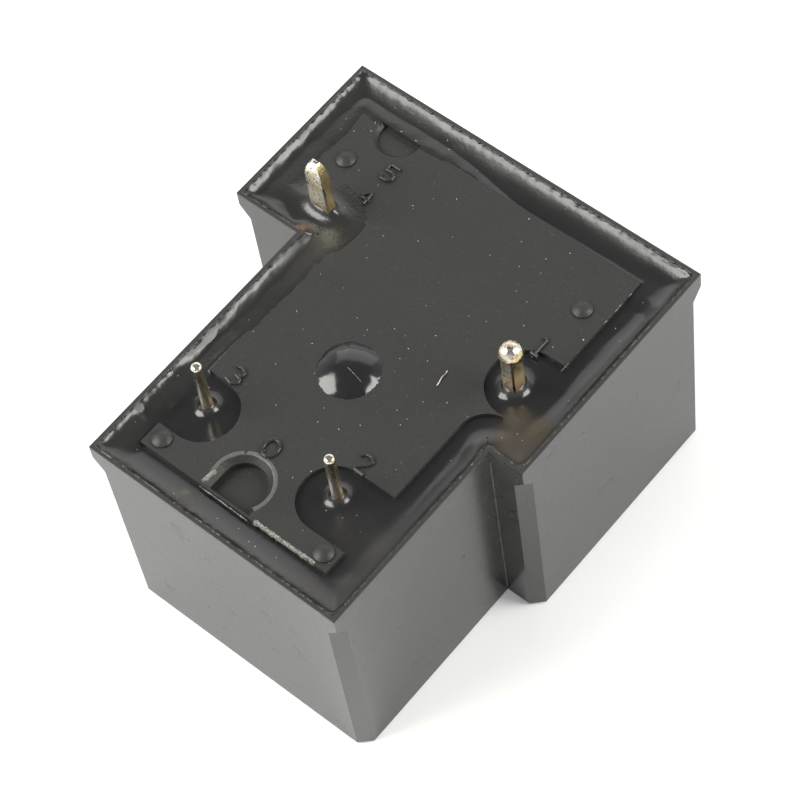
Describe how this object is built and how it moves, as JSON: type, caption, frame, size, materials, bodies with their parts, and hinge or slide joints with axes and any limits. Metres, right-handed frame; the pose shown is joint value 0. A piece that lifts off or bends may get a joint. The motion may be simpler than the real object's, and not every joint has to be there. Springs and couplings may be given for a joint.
{
  "type": "sealed circuit board power relay",
  "caption": "Sealed circuit board power relay, T-shaped black cover, pins up: round coil pins, contact terminals, wound electromagnet and a hinged armature that closes the contact.",
  "frame": {"origin": "Centre of the bounding box seen from above, on the closed face of the cover that the relay lies on.", "axes": "+Z points from the closed face of the cover to the tips of the pins, +Y points from the coil end to the wide contact end, +X points to the side with the common terminal."},
  "size_m": [0.0276, 0.032, 0.023],
  "materials": {
    "case_plastic": "moulded black plastic, fine spark-eroded grain",
    "base_plastic": "moulded glass-filled black plastic, grainy",
    "resin": "cast black sealing resin, glossy",
    "soft_iron": "nickel-plated soft iron",
    "bobbin_plastic": "moulded natural plastic",
    "copper_wire": "enamelled copper wire",
    "tape": "polyester film tape",
    "tinned_pin": "tinned, slightly uneven",
    "spring_strip": "rolled spring bronze",
    "copper_strip": "rolled copper alloy",
    "rivet_brass": "brass rivets",
    "contact_silver": "silver alloy, smooth",
    "copper_braid": "woven fine copper wire",
    "terminal_copper": "copper strip, solder-dipped pins"
  },
  "bodies": {
    "housing": {"cover": "case_plastic", "base": "base_plastic", "potting_resin": "resin", "core_plug": "resin", "iron_core": "soft_iron", "yoke": "soft_iron", "bobbin": "bobbin_plastic", "coil_winding": "copper_wire", "winding_tape": "tape", "coil_pin_left": "tinned_pin", "coil_pin_right": "tinned_pin", "coil_lead_left": "copper_wire", "coil_lead_right": "copper_wire", "return_spring": "spring_strip", "spring_rivet": "soft_iron", "contact_braid": "copper_braid", "common_terminal": "terminal_copper", "fixed_terminal": "terminal_copper", "fixed_contact": "contact_silver", "back_stop": "spring_strip"},
    "armature_set": {"armature": "soft_iron", "contact_blade": "copper_strip", "blade_rivets": "rivet_brass", "moving_contact": "contact_silver"}
  },
  "joints": [
    {"name": "armature_hinge", "type": "hinge", "parent": "housing", "child": "armature_set", "pos_m": [0.00045, -0.0116, 0.0049], "axis": [1, 0, 0], "range_deg": [0, 4], "stiffness_Nm_per_rad": 0.05, "springref_deg": -3.44, "deforming": ["return_spring", "contact_braid"]}
  ]
}
